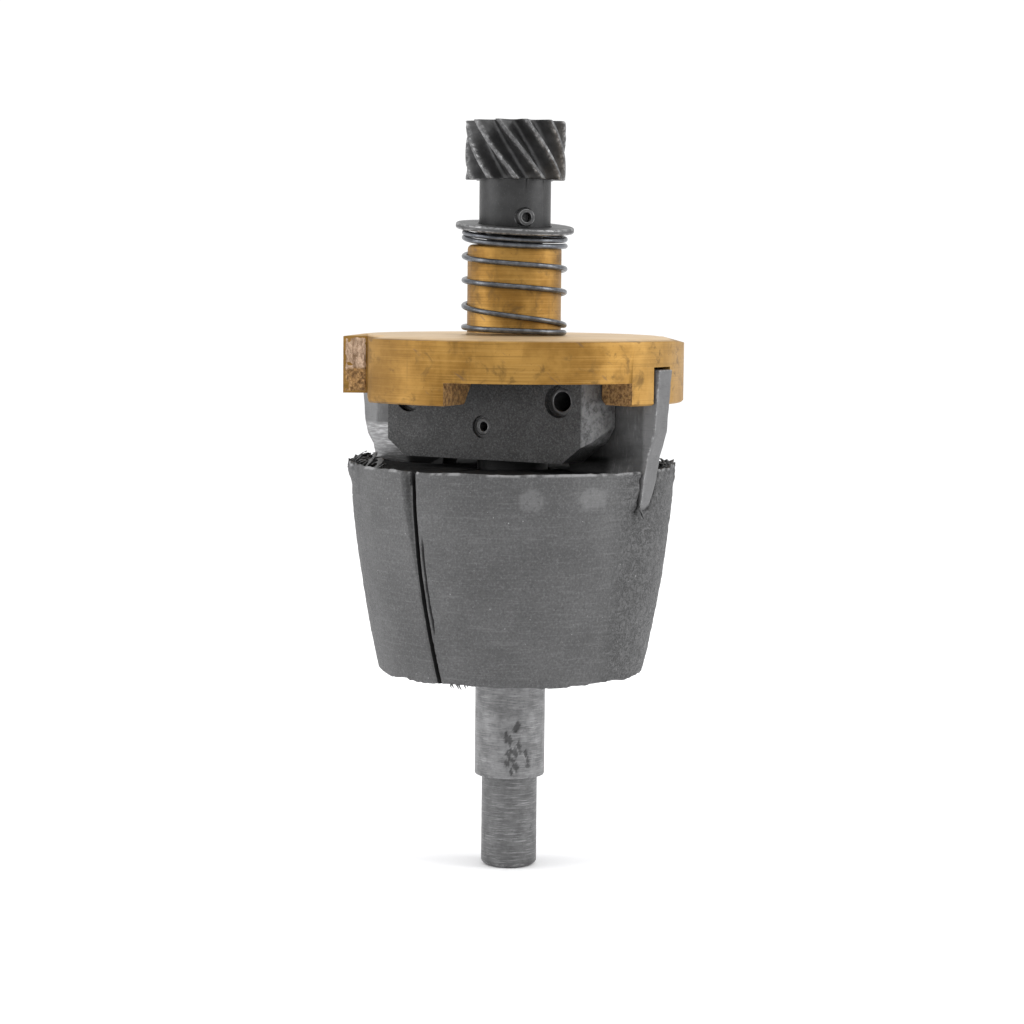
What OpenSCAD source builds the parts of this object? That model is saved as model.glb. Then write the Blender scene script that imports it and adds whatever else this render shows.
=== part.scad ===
// Rotor of a gear driven centrifugal governor: a stepped shaft carries a helical drive gear
// at the top, a spring loaded brass sleeve below it and a steel spider under the sleeve.
// Two half cone weights hang from the spider on bell crank arms. As they swing out, the
// toes of the arms lift the brass sleeve against the spring.
// The shaft stands along Z, with z = 0 at the shoulder above the lower journal, and the
// arms swing in the XZ plane. Angles are measured from +X towards +Y.

/* [Shaft] */
// Radius of the lower journal
journal_r = 5; // [4.6:0.1:5.6]
// Length of the lower journal
journal_len = 16.4; // [10:0.1:24]
// Radius of the stem between the journal and the spider
stem_r = 6.3; // [6:0.05:6.5]
// Radius of the seat that carries the spider and guides the sleeve
seat_r = 5; // [4.6:0.05:5.3]
// Radius of the reduced seat inside the gear
gear_seat_r = 4; // [3.4:0.1:4.4]
// Height of the shoulder that the spider sits on
spider_floor = 57.4; // [57.2:0.1:58]

/* [Drive gear] */
// Height of the underside of the gear's hub
hub_floor = 97.7; // [97.6:0.1:98]
// Radius of the gear's hub
hub_r = 6.35; // [6:0.05:6.45]
// Height at which the toothed rim begins
gear_floor = 106.5; // [104:0.1:108]
// Height of the gear's top face
gear_top = 116.8; // [112:0.1:122]
// Radius over the tooth crests
gear_tip_r = 8.9; // [8.4:0.1:9.6]
// Radius of the floor between two teeth
gear_root_r = 6.45; // [6.45:0.05:6.9]
// Number of teeth
teeth = 11; // [8:1:16]
// Turn of the left hand teeth over the width of the rim, in degrees
tooth_twist = 56; // [30:1:70]
// Direction of the middle of the first tooth, at the bottom of the rim
tooth_start = 9; // [0:1:32]

/* [Thrust washer and roll pins] */
// Radius of the washer's rim
washer_r = 10.5; // [9.8:0.05:11]
// Thickness of the washer
washer_t = 1.1; // [0.9:0.05:1.1]
// Radius of the washer's hole
washer_bore_r = 6.6; // [6.6:0.05:7]
// Height of the washer's middle
washer_z = 98.1; // [98.05:0.05:98.1]
// Tilt of the loose washer, in degrees
washer_tilt = 5.6; // [3:0.1:5.7]
// Direction of the washer's lowest point
washer_low_angle = -32; // [-45:1:-20]
// Radius of the roll pin in the gear's hub
gear_pin_r = 1.45; // [1.2:0.05:1.45]
// Height of the gear's roll pin
gear_pin_z = 99.8; // [99.8:0.05:100.4]
// Direction in which the gear's roll pin stands out
gear_pin_angle = -43; // [-60:1:-20]
// Distance from the axis to the end that stands out
gear_pin_reach = 7.9; // [7:0.1:8.4]
// Radius of the roll pin through the spider
spider_pin_r = 1.5; // [1.2:0.05:1.8]
// Height of the spider's roll pin
spider_pin_z = 63.2; // [62:0.1:64]

/* [Sleeve] */
// Radius of the hole that slides on the shaft
sleeve_bore_r = 5.04; // [5.04:0.01:5.08]
// Outer radius of the sleeve's tube
tube_r = 8.35; // [7.6:0.05:8.4]
// Height of the top of the tube
tube_top = 95.1; // [94:0.1:95.1]
// Height of the flange's flat top
flange_top = 79.1; // [79:0.05:79.15]
// Radius of the flange
flange_r = 30.3; // [29.6:0.1:31]
// Height of the flange's top edge at the rim
rim_top = 78.6; // [77.6:0.1:78.9]
// Height of the web's underside between the lugs
web_floor = 71.6; // [71:0.1:72.4]
// Height of the underside of the lugs
lug_floor = 67.7; // [67:0.1:68.2]
// Height of the ceiling inside the lug ring
recess_top = 74.6; // [74.5:0.1:75]
// Radius of the recess where the spider's ends turn
recess_r = 22.9; // [22.9:0.05:23.1]
// Width of the slots for the arms' toes
toe_slot_w = 5.6; // [5.2:0.1:6.2]
// Height of the top of those slots
toe_slot_top = 74.25; // [74.2:0.05:74.4]
// Radius of the floor of the notches cut right through the rim
rim_notch_r = 26; // [25.2:0.1:27]

/* [Spring] */
// Radius of the spring's wire
wire_r = 0.48; // [0.35:0.01:0.48]
// Radius of the coil at the middle of the wire
coil_r = 8.95; // [8.95:0.01:9.2]
// Height of the wire's middle above the flange at the start of the first coil
coil_start = 0.52; // [0.5:0.01:0.55]

/* [Spider] */
// Height of the spider's top face
spider_top = 73.4; // [73.2:0.1:73.6]
// Thickness of the spider, along Y
spider_t = 20.4; // [17:0.2:21]
// Radius of the spider's turned ends
spider_r = 22.5; // [22:0.1:22.5]
// Distance from the axis to each pivot
pivot_x = 15.6; // [15.4:0.1:15.8]
// Height of the pivots
pivot_z = 68.1; // [68:0.1:68.2]
// Radius of the pivot pins
pivot_pin_r = 2.5; // [2:0.1:2.6]
// Width of the slots that hold the arms
clevis_w = 4.9; // [4.9:0.05:5.2]

/* [Arms and weights] */
// Thickness of the arm plates
arm_t = 4.6; // [4:0.1:4.6]
// Radius of the eye round the pivot
eye_r = 5; // [4.4:0.1:5]
// Height of the top of the toes
toe_top = 73.8; // [73.6:0.05:73.85]
// Height of the weights' underside
weight_floor = 19.1; // [17:0.1:21]
// Height of the weights' top face
weight_top = 56.4; // [56:0.1:56.5]
// Radius of the weights at their underside
weight_r_bottom = 23.6; // [22:0.1:24.5]
// Radius of the weights at the start of the upper band
weight_r_band = 28.6; // [28.6:0.05:28.8]
// Height at which the upper band begins
band_floor = 50.8; // [50:0.1:51.5]
// How far the side swells past a straight cone
side_bulge = 0.6; // [0:0.05:0.8]
// Radius of the hole round the stem
weight_bore_r = 6.75; // [6.6:0.05:7.2]
// Distance from the middle of the saw cut to each weight's inner face
split_gap = 0.4; // [0.3:0.05:0.6]
// Lean of the saw cut between the weights, in degrees
split_lean = 3.6; // [0:0.1:4]
// Where the saw cut crosses the XZ plane, halfway up the weights
split_x = -0.6; // [-0.8:0.1:0]

/* [Hidden] */
$fn = 96;

steel = "#5b5b5d";
dark_steel = "#454547";
wire_grey = "#6c6e73";
brass = "#b98a3c";
lead_grey = "#565658";

// Small breaks of edges and running gaps
chamfer = 0.4;
fine_chamfer = 0.3;
press_gap = 0.01;
pin_gap = 0.05;
cast_gap = 0.03;
through = 80;

// Centre drilled into each end of the shaft
centre_r = 1.6;
centre_depth = 2.2;

// Half angle and radius of each corner of a tooth, from the crest down to the root
tooth_pitch = 360 / teeth;
crest_half = 2.4;
flank_half = 6.3;
foot_half = 11.7;
flank_r = (gear_tip_r + gear_root_r) / 2;
foot_r = gear_root_r + 0.15;
gear_slices = 14;

// The roll pins are hollow, and the pins in the spider sit below its faces
gear_pin_bore = 0.85;
gear_pin_back = 6.2;
gear_pin_mouth_r = 1.85;
gear_pin_mouth_depth = 0.5;
spider_pin_bore = 0.8;
spider_pin_mouth_r = 2;
spider_pin_sink = 0.5;
pivot_pin_bore = 1.7;
pivot_pin_mouth_r = 2.8;
pivot_pin_sink = 1.2;

// The sleeve's ring: where the lugs, notches and slots begin and end
lug_step = -80.8;
lug_slot_side = -16.2;
rim_notch_from = 35;
rim_notch_to = 66.7;
worn_lug_from = 182;
worn_lug_to = 215;
worn_lug_floor = 68.6;
flat_r = 26.5;
lug_foot_r = 21.6;
gusset_r = 18.2;
lug_chamfer = 0.9;
worn_rim_angle = 30;
worn_rim_slope = 15;
tube_round = 0.9;
tube_fillet = 0.4;

// Rise of the wire over each half turn, from the flange up: the first and last turns lie flat
half_turn_rise = [0.85, 0.4, 3.4, 2.5, 2, 2.1, 2, 2.35, 0.75, 0.55, 0.4];
coil_end_angle = 32;
half_turns = len(half_turn_rise);
rings_per_half = 12;
wire_sides = 8;
// The last half turns follow the washer's tilt
tilt_from = 6;
tilt_full = 9;

// The spider's lower corners, cut away towards the ends: distance in from the end, and up
cut_corner = [[6.2, 0], [1.5, 3.7], [0, 6.4]];
clevis_floor_x = 9.8;

// Outline of an arm: toe, outer edge and the tail cast into the weight
toe_in = 26;
toe_out = 31;
web_edge_z = 72;
web_edge_from = 19.2;
web_edge_to = 25.4;
outer_edge = [[30.2, 63], [29.5, 60.5], [28.5, 58.3]];
left_arm_spread = 0.6;
strip_x = 28.5;
strip_floor = 50;
tail_floor = 39;
tail_out = 22;
tail_in = 16.5;
neck_in = 13;
neck_z = 57;
side_steps = 8;

// Height of the washer's plane, above its middle, at one place
function washer_rise(r, angle) = -r * tan(washer_tilt) * cos(angle - washer_low_angle);

// Height of the wire above the flange after a number of half turns
function sum_to(list, n, i = 0) = i < n ? list[i] + sum_to(list, n, i + 1) : 0;
function level(n) = coil_start + sum_to(half_turn_rise, n);
function wire_angle(u) = coil_end_angle - 180 * u;
function tilt_share(u) = min(1, max(0, (u - tilt_from) / (tilt_full - tilt_from)));
function wire_height(u) = let (n = min(floor(u), half_turns - 1), t = u - n)
    flange_top + level(n) * (1 - t) + level(n + 1) * t
    + tilt_share(u) * washer_rise(coil_r, wire_angle(u));

// A point on the wire's surface
function wire_point(u, side) = let (turn = wire_angle(u), r = coil_r + wire_r * cos(side))
    [r * cos(turn), r * sin(turn), wire_height(u) + wire_r * sin(side)];

// One tooth of the gear, as the corners of its outline
function corner(r, angle) = [r * cos(angle), r * sin(angle)];
function tooth(middle) = [
    corner(foot_r, middle - foot_half),
    corner(flank_r, middle - flank_half),
    corner(gear_tip_r, middle - crest_half),
    corner(gear_tip_r, middle + crest_half),
    corner(flank_r, middle + flank_half),
    corner(foot_r, middle + foot_half),
    corner(gear_root_r, middle + tooth_pitch / 2)];

// Radius of the weights' side, from the underside up to the band
function side_r(t) = weight_r_bottom + (weight_r_band - weight_r_bottom) * t + side_bulge * sin(180 * t);

// One point on a lower corner of the spider: end is 1 or -1, and i counts from the underside up
function low_corner(end, i) = [end * (spider_r - cut_corner[i][0]), spider_floor + cut_corner[i][1]];

// A tube along Y, centred on the XZ plane
module hollow_pin(r, bore, len) {
    difference() {
        rotate([90, 0, 0]) cylinder(r = r, h = len, center = true);
        rotate([90, 0, 0]) cylinder(r = bore, h = len + 2, center = true);
    }
}

// A wedge of a disc between two angles
module sector(from, to, floor_z, h) {
    step = (to - from) / 4;
    translate([0, 0, floor_z])
        linear_extrude(h)
            polygon([[0, 0], for (a = [from : step : to + step / 2]) corner(through, a)]);
}

module shaft() {
    color(steel)
        difference() {
            rotate_extrude()
                polygon([[0, -journal_len], [journal_r - chamfer, -journal_len],
                    [journal_r, -journal_len + chamfer], [journal_r, 0],
                    [stem_r - fine_chamfer, 0], [stem_r, fine_chamfer],
                    [stem_r, spider_floor], [seat_r, spider_floor],
                    [seat_r, hub_floor], [gear_seat_r, hub_floor],
                    [gear_seat_r, gear_top - fine_chamfer],
                    [gear_seat_r - fine_chamfer, gear_top], [0, gear_top]]);
            translate([0, 0, gear_top - centre_depth])
                cylinder(r1 = 0.4, r2 = centre_r, h = centre_depth + 0.01);
            translate([0, 0, -journal_len - 0.01])
                cylinder(r1 = centre_r, r2 = 0.4, h = centre_depth);
            translate([0, 0, spider_pin_z])
                rotate([90, 0, 0]) cylinder(r = spider_pin_r + press_gap, h = through, center = true);
            translate([0, 0, gear_pin_z])
                rotate([90, 0, gear_pin_angle + 90])
                    cylinder(r = gear_pin_r + press_gap, h = through, center = true);
        }
}

module drive_gear() {
    color(dark_steel)
        difference() {
            union() {
                translate([0, 0, gear_floor])
                    linear_extrude(gear_top - gear_floor, twist = tooth_twist, slices = gear_slices)
                        polygon([for (i = [0 : teeth - 1]) each tooth(tooth_start + i * tooth_pitch)]);
                translate([0, 0, hub_floor]) cylinder(r = hub_r, h = gear_floor - hub_floor + 1);
            }
            translate([0, 0, hub_floor - 1])
                cylinder(r = gear_seat_r + press_gap, h = gear_top - hub_floor + 2);
            translate([0, 0, gear_pin_z])
                rotate([90, 0, gear_pin_angle + 90])
                    cylinder(r = gear_pin_r + press_gap, h = through, center = true);
            translate([0, 0, gear_pin_z])
                rotate([0, 90, gear_pin_angle])
                    translate([0, 0, hub_r - gear_pin_mouth_depth])
                        cylinder(r = gear_pin_mouth_r, h = 4);
        }
}

module gear_roll_pin() {
    len = gear_pin_back + gear_pin_reach;
    color(steel)
        translate([0, 0, gear_pin_z])
            rotate([0, 0, gear_pin_angle + 90])
                translate([0, (gear_pin_back - gear_pin_reach) / 2, 0])
                    hollow_pin(gear_pin_r, gear_pin_bore, len);
}

module thrust_washer() {
    half = washer_t / 2;
    edge = 0.2;
    color(steel)
        translate([0, 0, washer_z])
            rotate([0, 0, washer_low_angle])
                rotate([0, washer_tilt, 0])
                    rotate_extrude()
                        polygon([[washer_bore_r, -half], [washer_r - edge, -half],
                            [washer_r, -half + edge], [washer_r, half - edge],
                            [washer_r - edge, half], [washer_bore_r, half]]);
}

module spring() {
    rings = half_turns * rings_per_half;
    points = [for (i = [0 : rings]) for (k = [0 : wire_sides - 1])
        wire_point(i / rings_per_half, 360 * k / wire_sides)];
    first_cap = [for (k = [wire_sides - 1 : -1 : 0]) k];
    last_cap = [for (k = [0 : wire_sides - 1]) rings * wire_sides + k];
    walls = [for (i = [0 : rings - 1]) for (k = [0 : wire_sides - 1])
        let (a = i * wire_sides, next = (k + 1) % wire_sides)
        [a + k, a + next, a + next + wire_sides, a + k + wire_sides]];
    color(wire_grey)
        polyhedron(points, concat([first_cap], walls, [last_cap]));
}

// The sleeve and flange as a turned blank, with the thick lug ring all round
module sleeve_blank() {
    rotate_extrude()
        polygon([
            [sleeve_bore_r + fine_chamfer, recess_top], [gusset_r - 2, recess_top],
            [gusset_r, web_floor], [lug_foot_r, lug_floor],
            [flange_r - fine_chamfer, lug_floor], [flange_r, lug_floor + fine_chamfer],
            [flange_r, rim_top], [flat_r, flange_top],
            [tube_r + tube_fillet, flange_top], [tube_r, flange_top + tube_fillet],
            for (a = [0 : 30 : 90])
                [tube_r - tube_round + tube_round * cos(a), tube_top - tube_round + tube_round * sin(a)],
            [sleeve_bore_r + fine_chamfer, tube_top], [sleeve_bore_r, tube_top - fine_chamfer],
            [sleeve_bore_r, recess_top + fine_chamfer]]);
}

// Everything that one half of the flange loses: the deep recess, the step between the
// lugs, the slot for the arm's toe and the notch through the rim
module sleeve_cuts() {
    intersection() {
        rotate_extrude()
            polygon([[0, 0], [recess_r + lug_chamfer, 0], [recess_r + lug_chamfer, lug_floor],
                [recess_r, lug_floor + lug_chamfer], [recess_r, recess_top], [0, recess_top]]);
        sector(lug_step, rim_notch_to, 0, through + recess_top);
    }
    sector(lug_step, lug_slot_side, 0, web_floor);
    translate([recess_r - 2, -toe_slot_w / 2, 0]) cube([through, toe_slot_w, toe_slot_top]);
    difference() {
        sector(rim_notch_from, rim_notch_to, 0, through + flange_top);
        cylinder(r = rim_notch_r, h = 2 * through);
    }
}

module sleeve() {
    color(brass)
        difference() {
            sleeve_blank();
            sleeve_cuts();
            rotate([0, 0, 180]) sleeve_cuts();
            sector(worn_lug_from, worn_lug_to, 0, worn_lug_floor);
            rotate([0, 0, worn_rim_angle])
                translate([flat_r, -through / 2, flange_top])
                    rotate([0, worn_rim_slope, 0]) cube([through, through, through]);
        }
}

module spider() {
    half = spider_r + 1;
    color(dark_steel)
        difference() {
            intersection() {
                translate([0, spider_t / 2, 0])
                    rotate([90, 0, 0])
                        linear_extrude(spider_t)
                            polygon([low_corner(-1, 2), low_corner(-1, 1), low_corner(-1, 0),
                                low_corner(1, 0), low_corner(1, 1), low_corner(1, 2),
                                [half, low_corner(1, 2)[1]], [half, spider_top],
                                [-half, spider_top], [-half, low_corner(-1, 2)[1]]]);
                cylinder(r = spider_r, h = through);
            }
            cylinder(r = seat_r + press_gap, h = through);
            for (side = [-1, 1]) {
                translate([side * (clevis_floor_x + half) / 2, 0, through / 2])
                    cube([half - clevis_floor_x, clevis_w, 2 * through], center = true);
                translate([side * pivot_x, 0, pivot_z])
                    rotate([90, 0, 0]) cylinder(r = pivot_pin_r + press_gap, h = through, center = true);
                translate([0, side * spider_t / 2, spider_pin_z])
                    rotate([90, 0, 0])
                        cylinder(r = spider_pin_mouth_r, h = 2 * spider_pin_sink, center = true);
                for (end = [-1, 1])
                    translate([side * pivot_x, end * spider_t / 2, pivot_z])
                        rotate([90, 0, 0])
                            cylinder(r = pivot_pin_mouth_r, h = 2 * pivot_pin_sink, center = true);
            }
            translate([0, 0, spider_pin_z])
                rotate([90, 0, 0]) cylinder(r = spider_pin_r + press_gap, h = through, center = true);
        }
}

module spider_roll_pin() {
    color(steel)
        translate([0, 0, spider_pin_z])
            hollow_pin(spider_pin_r, spider_pin_bore, spider_t - 2 * spider_pin_sink);
}

// side is 1 for the pin at +X and -1 for the pin at -X
module pivot_pin(side) {
    color(steel)
        translate([side * pivot_x, 0, pivot_z])
            hollow_pin(pivot_pin_r, pivot_pin_bore, spider_t - 2 * pivot_pin_sink);
}

// A flat outline in the XZ plane, given a thickness along Y
module plate(points, t) {
    translate([0, t / 2, 0]) rotate([90, 0, 0]) linear_extrude(t) polygon(points);
}

// spread moves the upper part of the outer edge away from the axis
module arm(spread) {
    color(steel)
        difference() {
            union() {
                plate(concat([[pivot_x - eye_r, pivot_z], [neck_in, neck_z],
                    [tail_in, tail_floor], [tail_out, tail_floor], [strip_x, strip_floor],
                    outer_edge[2], outer_edge[1] + [spread, 0], outer_edge[0] + [spread, 0],
                    [toe_out + spread, toe_top],
                    [toe_in, toe_top], [web_edge_to, web_edge_z], [web_edge_from, web_edge_z]]), arm_t);
                translate([pivot_x, 0, pivot_z])
                    rotate([90, 0, 0]) cylinder(r = eye_r, h = arm_t, center = true);
            }
            translate([pivot_x, 0, pivot_z])
                rotate([90, 0, 0]) cylinder(r = pivot_pin_r + pin_gap, h = through, center = true);
        }
}

// Half cone cast round the tail of the arm, which shows as a strip in its outer side.
// side is 1 for the weight at +X; the saw cut leans the same way for both.
module weight(side) {
    reach = 1.6;
    slot_end = [tail_out + reach * (strip_x - tail_out), tail_floor + reach * (strip_floor - tail_floor)];
    color(lead_grey)
        difference() {
            rotate_extrude()
                polygon([[weight_bore_r, weight_floor],
                    for (i = [0 : side_steps])
                        [side_r(i / side_steps), weight_floor + (band_floor - weight_floor) * i / side_steps],
                    [weight_r_band, weight_top], [weight_bore_r, weight_top]]);
            translate([side * split_x + split_gap, 0, (weight_floor + weight_top) / 2])
                rotate([0, -side * split_lean, 0])
                    translate([-through, -through / 2, -through / 2]) cube([through, through, through]);
            plate([[tail_in - cast_gap, tail_floor - cast_gap], [tail_out + cast_gap, tail_floor - cast_gap],
                [slot_end[0] + cast_gap, slot_end[1]], [slot_end[0], through],
                [neck_in - cast_gap, through], [neck_in - cast_gap, neck_z]], arm_t + 2 * cast_gap);
        }
}

shaft();
drive_gear();
gear_roll_pin();
thrust_washer();
spring();
sleeve();
spider();
spider_roll_pin();
pivot_pin(1);  // pivot_pin_right
pivot_pin(-1);  // pivot_pin_left
arm(0);  // arm_right
rotate([0, 0, 180]) arm(left_arm_spread);  // arm_left
weight(1);  // weight_right
rotate([0, 0, 180]) weight(-1);  // weight_left
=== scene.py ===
"""Looks of a centrifugal governor rotor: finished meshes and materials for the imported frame."""
import math
import random
import bmesh
import bpy
from mathutils import Matrix, Vector, noise


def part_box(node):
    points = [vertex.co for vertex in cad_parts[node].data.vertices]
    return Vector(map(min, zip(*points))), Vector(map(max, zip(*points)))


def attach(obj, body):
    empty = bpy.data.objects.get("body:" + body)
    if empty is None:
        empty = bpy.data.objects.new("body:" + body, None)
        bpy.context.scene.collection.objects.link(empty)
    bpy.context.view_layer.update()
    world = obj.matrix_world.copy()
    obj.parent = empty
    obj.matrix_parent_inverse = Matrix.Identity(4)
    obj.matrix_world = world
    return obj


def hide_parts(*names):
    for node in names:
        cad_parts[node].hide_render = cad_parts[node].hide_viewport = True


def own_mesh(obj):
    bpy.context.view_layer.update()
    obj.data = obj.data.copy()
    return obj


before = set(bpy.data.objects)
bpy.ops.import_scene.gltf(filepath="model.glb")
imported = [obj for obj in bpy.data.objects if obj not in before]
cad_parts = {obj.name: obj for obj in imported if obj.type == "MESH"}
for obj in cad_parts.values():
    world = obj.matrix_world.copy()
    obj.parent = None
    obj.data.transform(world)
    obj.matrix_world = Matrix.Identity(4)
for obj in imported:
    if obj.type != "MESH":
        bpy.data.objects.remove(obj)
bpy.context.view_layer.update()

# ---- Sizes, in millimetres, worked out from the frame ----
MM = 0.001


def span(node):
    """Lowest and highest corner of a CAD node, in millimetres."""
    low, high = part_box(node)
    return low / MM, high / MM


SHAFT_LOW, SHAFT_HIGH = span("shaft")
GEAR_LOW, GEAR_HIGH = span("drive_gear")
SPRING_HIGH = span("spring")[1]
SLEEVE_LOW, SLEEVE_HIGH = span("sleeve")
SPIDER_LOW, SPIDER_HIGH = span("spider")
PIN_LOW, PIN_HIGH = span("gear_roll_pin")
WEIGHT_LOW, WEIGHT_HIGH = span("weight_right")
ARM_LOW, ARM_HIGH = span("arm_right")
LEFT_ARM_LOW = span("arm_left")[0]
PIVOT_LOW, PIVOT_HIGH = span("pivot_pin_right")

STEM_R = SHAFT_HIGH.x
JOURNAL_R = 5.0
SEAT_R = 5.0
GEAR_SEAT_R = 4.0
HUB_R = 6.35
GEAR_TIP_R = 8.9
GEAR_FACE = 10.3
GEAR_FLOOR = GEAR_HIGH.z - GEAR_FACE
WEIGHT_BORE_R = 6.75
TUBE_STANDS = 16.0
FLANGE_TOP = SLEEVE_HIGH.z - TUBE_STANDS
WASHER_TILT = math.radians(5.6)
WASHER_LOW_ANGLE = math.radians(-32)
ARM_T = ARM_HIGH.y - ARM_LOW.y
RIGHT, LEFT = 1, -1
# Azimuth of the rotor's front in degrees, from -Y towards +X
FRONT_AZIMUTH = 32
FRONT = math.radians(FRONT_AZIMUTH)
# Edges of the CAD shapes that turn by more than this are broken
SHARP_ANGLE = math.radians(28)
# Facets that meet at more than this, in degrees, stay crisp where flat faces must look flat
CRISP = 20
# The same limit where a casting must look soft
ROUNDED = 50


# ---- Mesh helpers, in millimetres ----
def polar(r, angle, z):
    """A point from its radius, its angle from +X and its height."""
    return Vector((r * math.cos(angle), r * math.sin(angle), z))


def smooth(edge0, edge1, x):
    """0 below edge0, 1 above edge1, and a smooth step between them."""
    t = min(1.0, max(0.0, (x - edge0) / (edge1 - edge0)))
    return t * t * (3 - 2 * t)


def rough(point, scale, octaves=3):
    """Seedless fractal noise, about -1 to 1, at a place given in millimetres."""
    return noise.fractal(point / scale, 1.0, 2.0, octaves)


def sweep(rings, closed_path=False):
    """A bmesh skin over equal rings of points. The two end rings are capped, or joined on a closed path."""
    bm = bmesh.new()
    loops = [[bm.verts.new(p) for p in ring] for ring in rings]
    pairs = list(zip(loops, loops[1:] + loops[:1])) if closed_path else list(zip(loops, loops[1:]))
    for a, b in pairs:
        for i in range(len(a)):
            j = (i + 1) % len(a)
            bm.faces.new((a[i], a[j], b[j], b[i]))
    if not closed_path:
        bm.faces.new(list(reversed(loops[0])))
        bm.faces.new(loops[-1])
    return bm


def join(bm, other):
    """Adds a second bmesh to the first."""
    mesh = bpy.data.meshes.new("joined")
    other.to_mesh(mesh)
    other.free()
    bm.from_mesh(mesh)
    bpy.data.meshes.remove(mesh)
    return bm


def piece(name, bm, body, material, replaced=(), sharp=32):
    """Turns a bmesh in millimetres into a finished object that rides on a body."""
    bmesh.ops.scale(bm, vec=(MM, MM, MM), verts=bm.verts)
    bmesh.ops.recalc_face_normals(bm, faces=bm.faces)
    mesh = bpy.data.meshes.new(name)
    bm.to_mesh(mesh)
    bm.free()
    mesh.shade_smooth()
    mesh.set_sharp_from_angle(angle=math.radians(sharp))
    mesh.materials.append(material)
    obj = bpy.data.objects.new(name, mesh)
    bpy.context.scene.collection.objects.link(obj)
    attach(obj, body)
    for node in replaced:
        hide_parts(node)
    return obj


def finished_copy(node, bevel):
    """The CAD node's own shape with its sharp edges broken; the new faces carry the wear mark."""
    bm = bmesh.new()
    bm.from_mesh(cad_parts[node].data)
    bmesh.ops.scale(bm, vec=(1 / MM, 1 / MM, 1 / MM), verts=bm.verts)
    bmesh.ops.remove_doubles(bm, verts=bm.verts, dist=0.002)
    bmesh.ops.dissolve_limit(bm, angle_limit=math.radians(0.6), verts=bm.verts, edges=bm.edges)
    edges = [e for e in bm.edges if e.is_manifold and e.calc_face_angle(0) > SHARP_ANGLE]
    wear = bm.faces.layers.float.new("wear")
    made = bmesh.ops.bevel(bm, geom=edges, offset=bevel, segments=2, profile=0.5,
                           affect="EDGES", clamp_overlap=True)
    for face in made["faces"]:
        face[wear] = 1.0
    return bm


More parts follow.
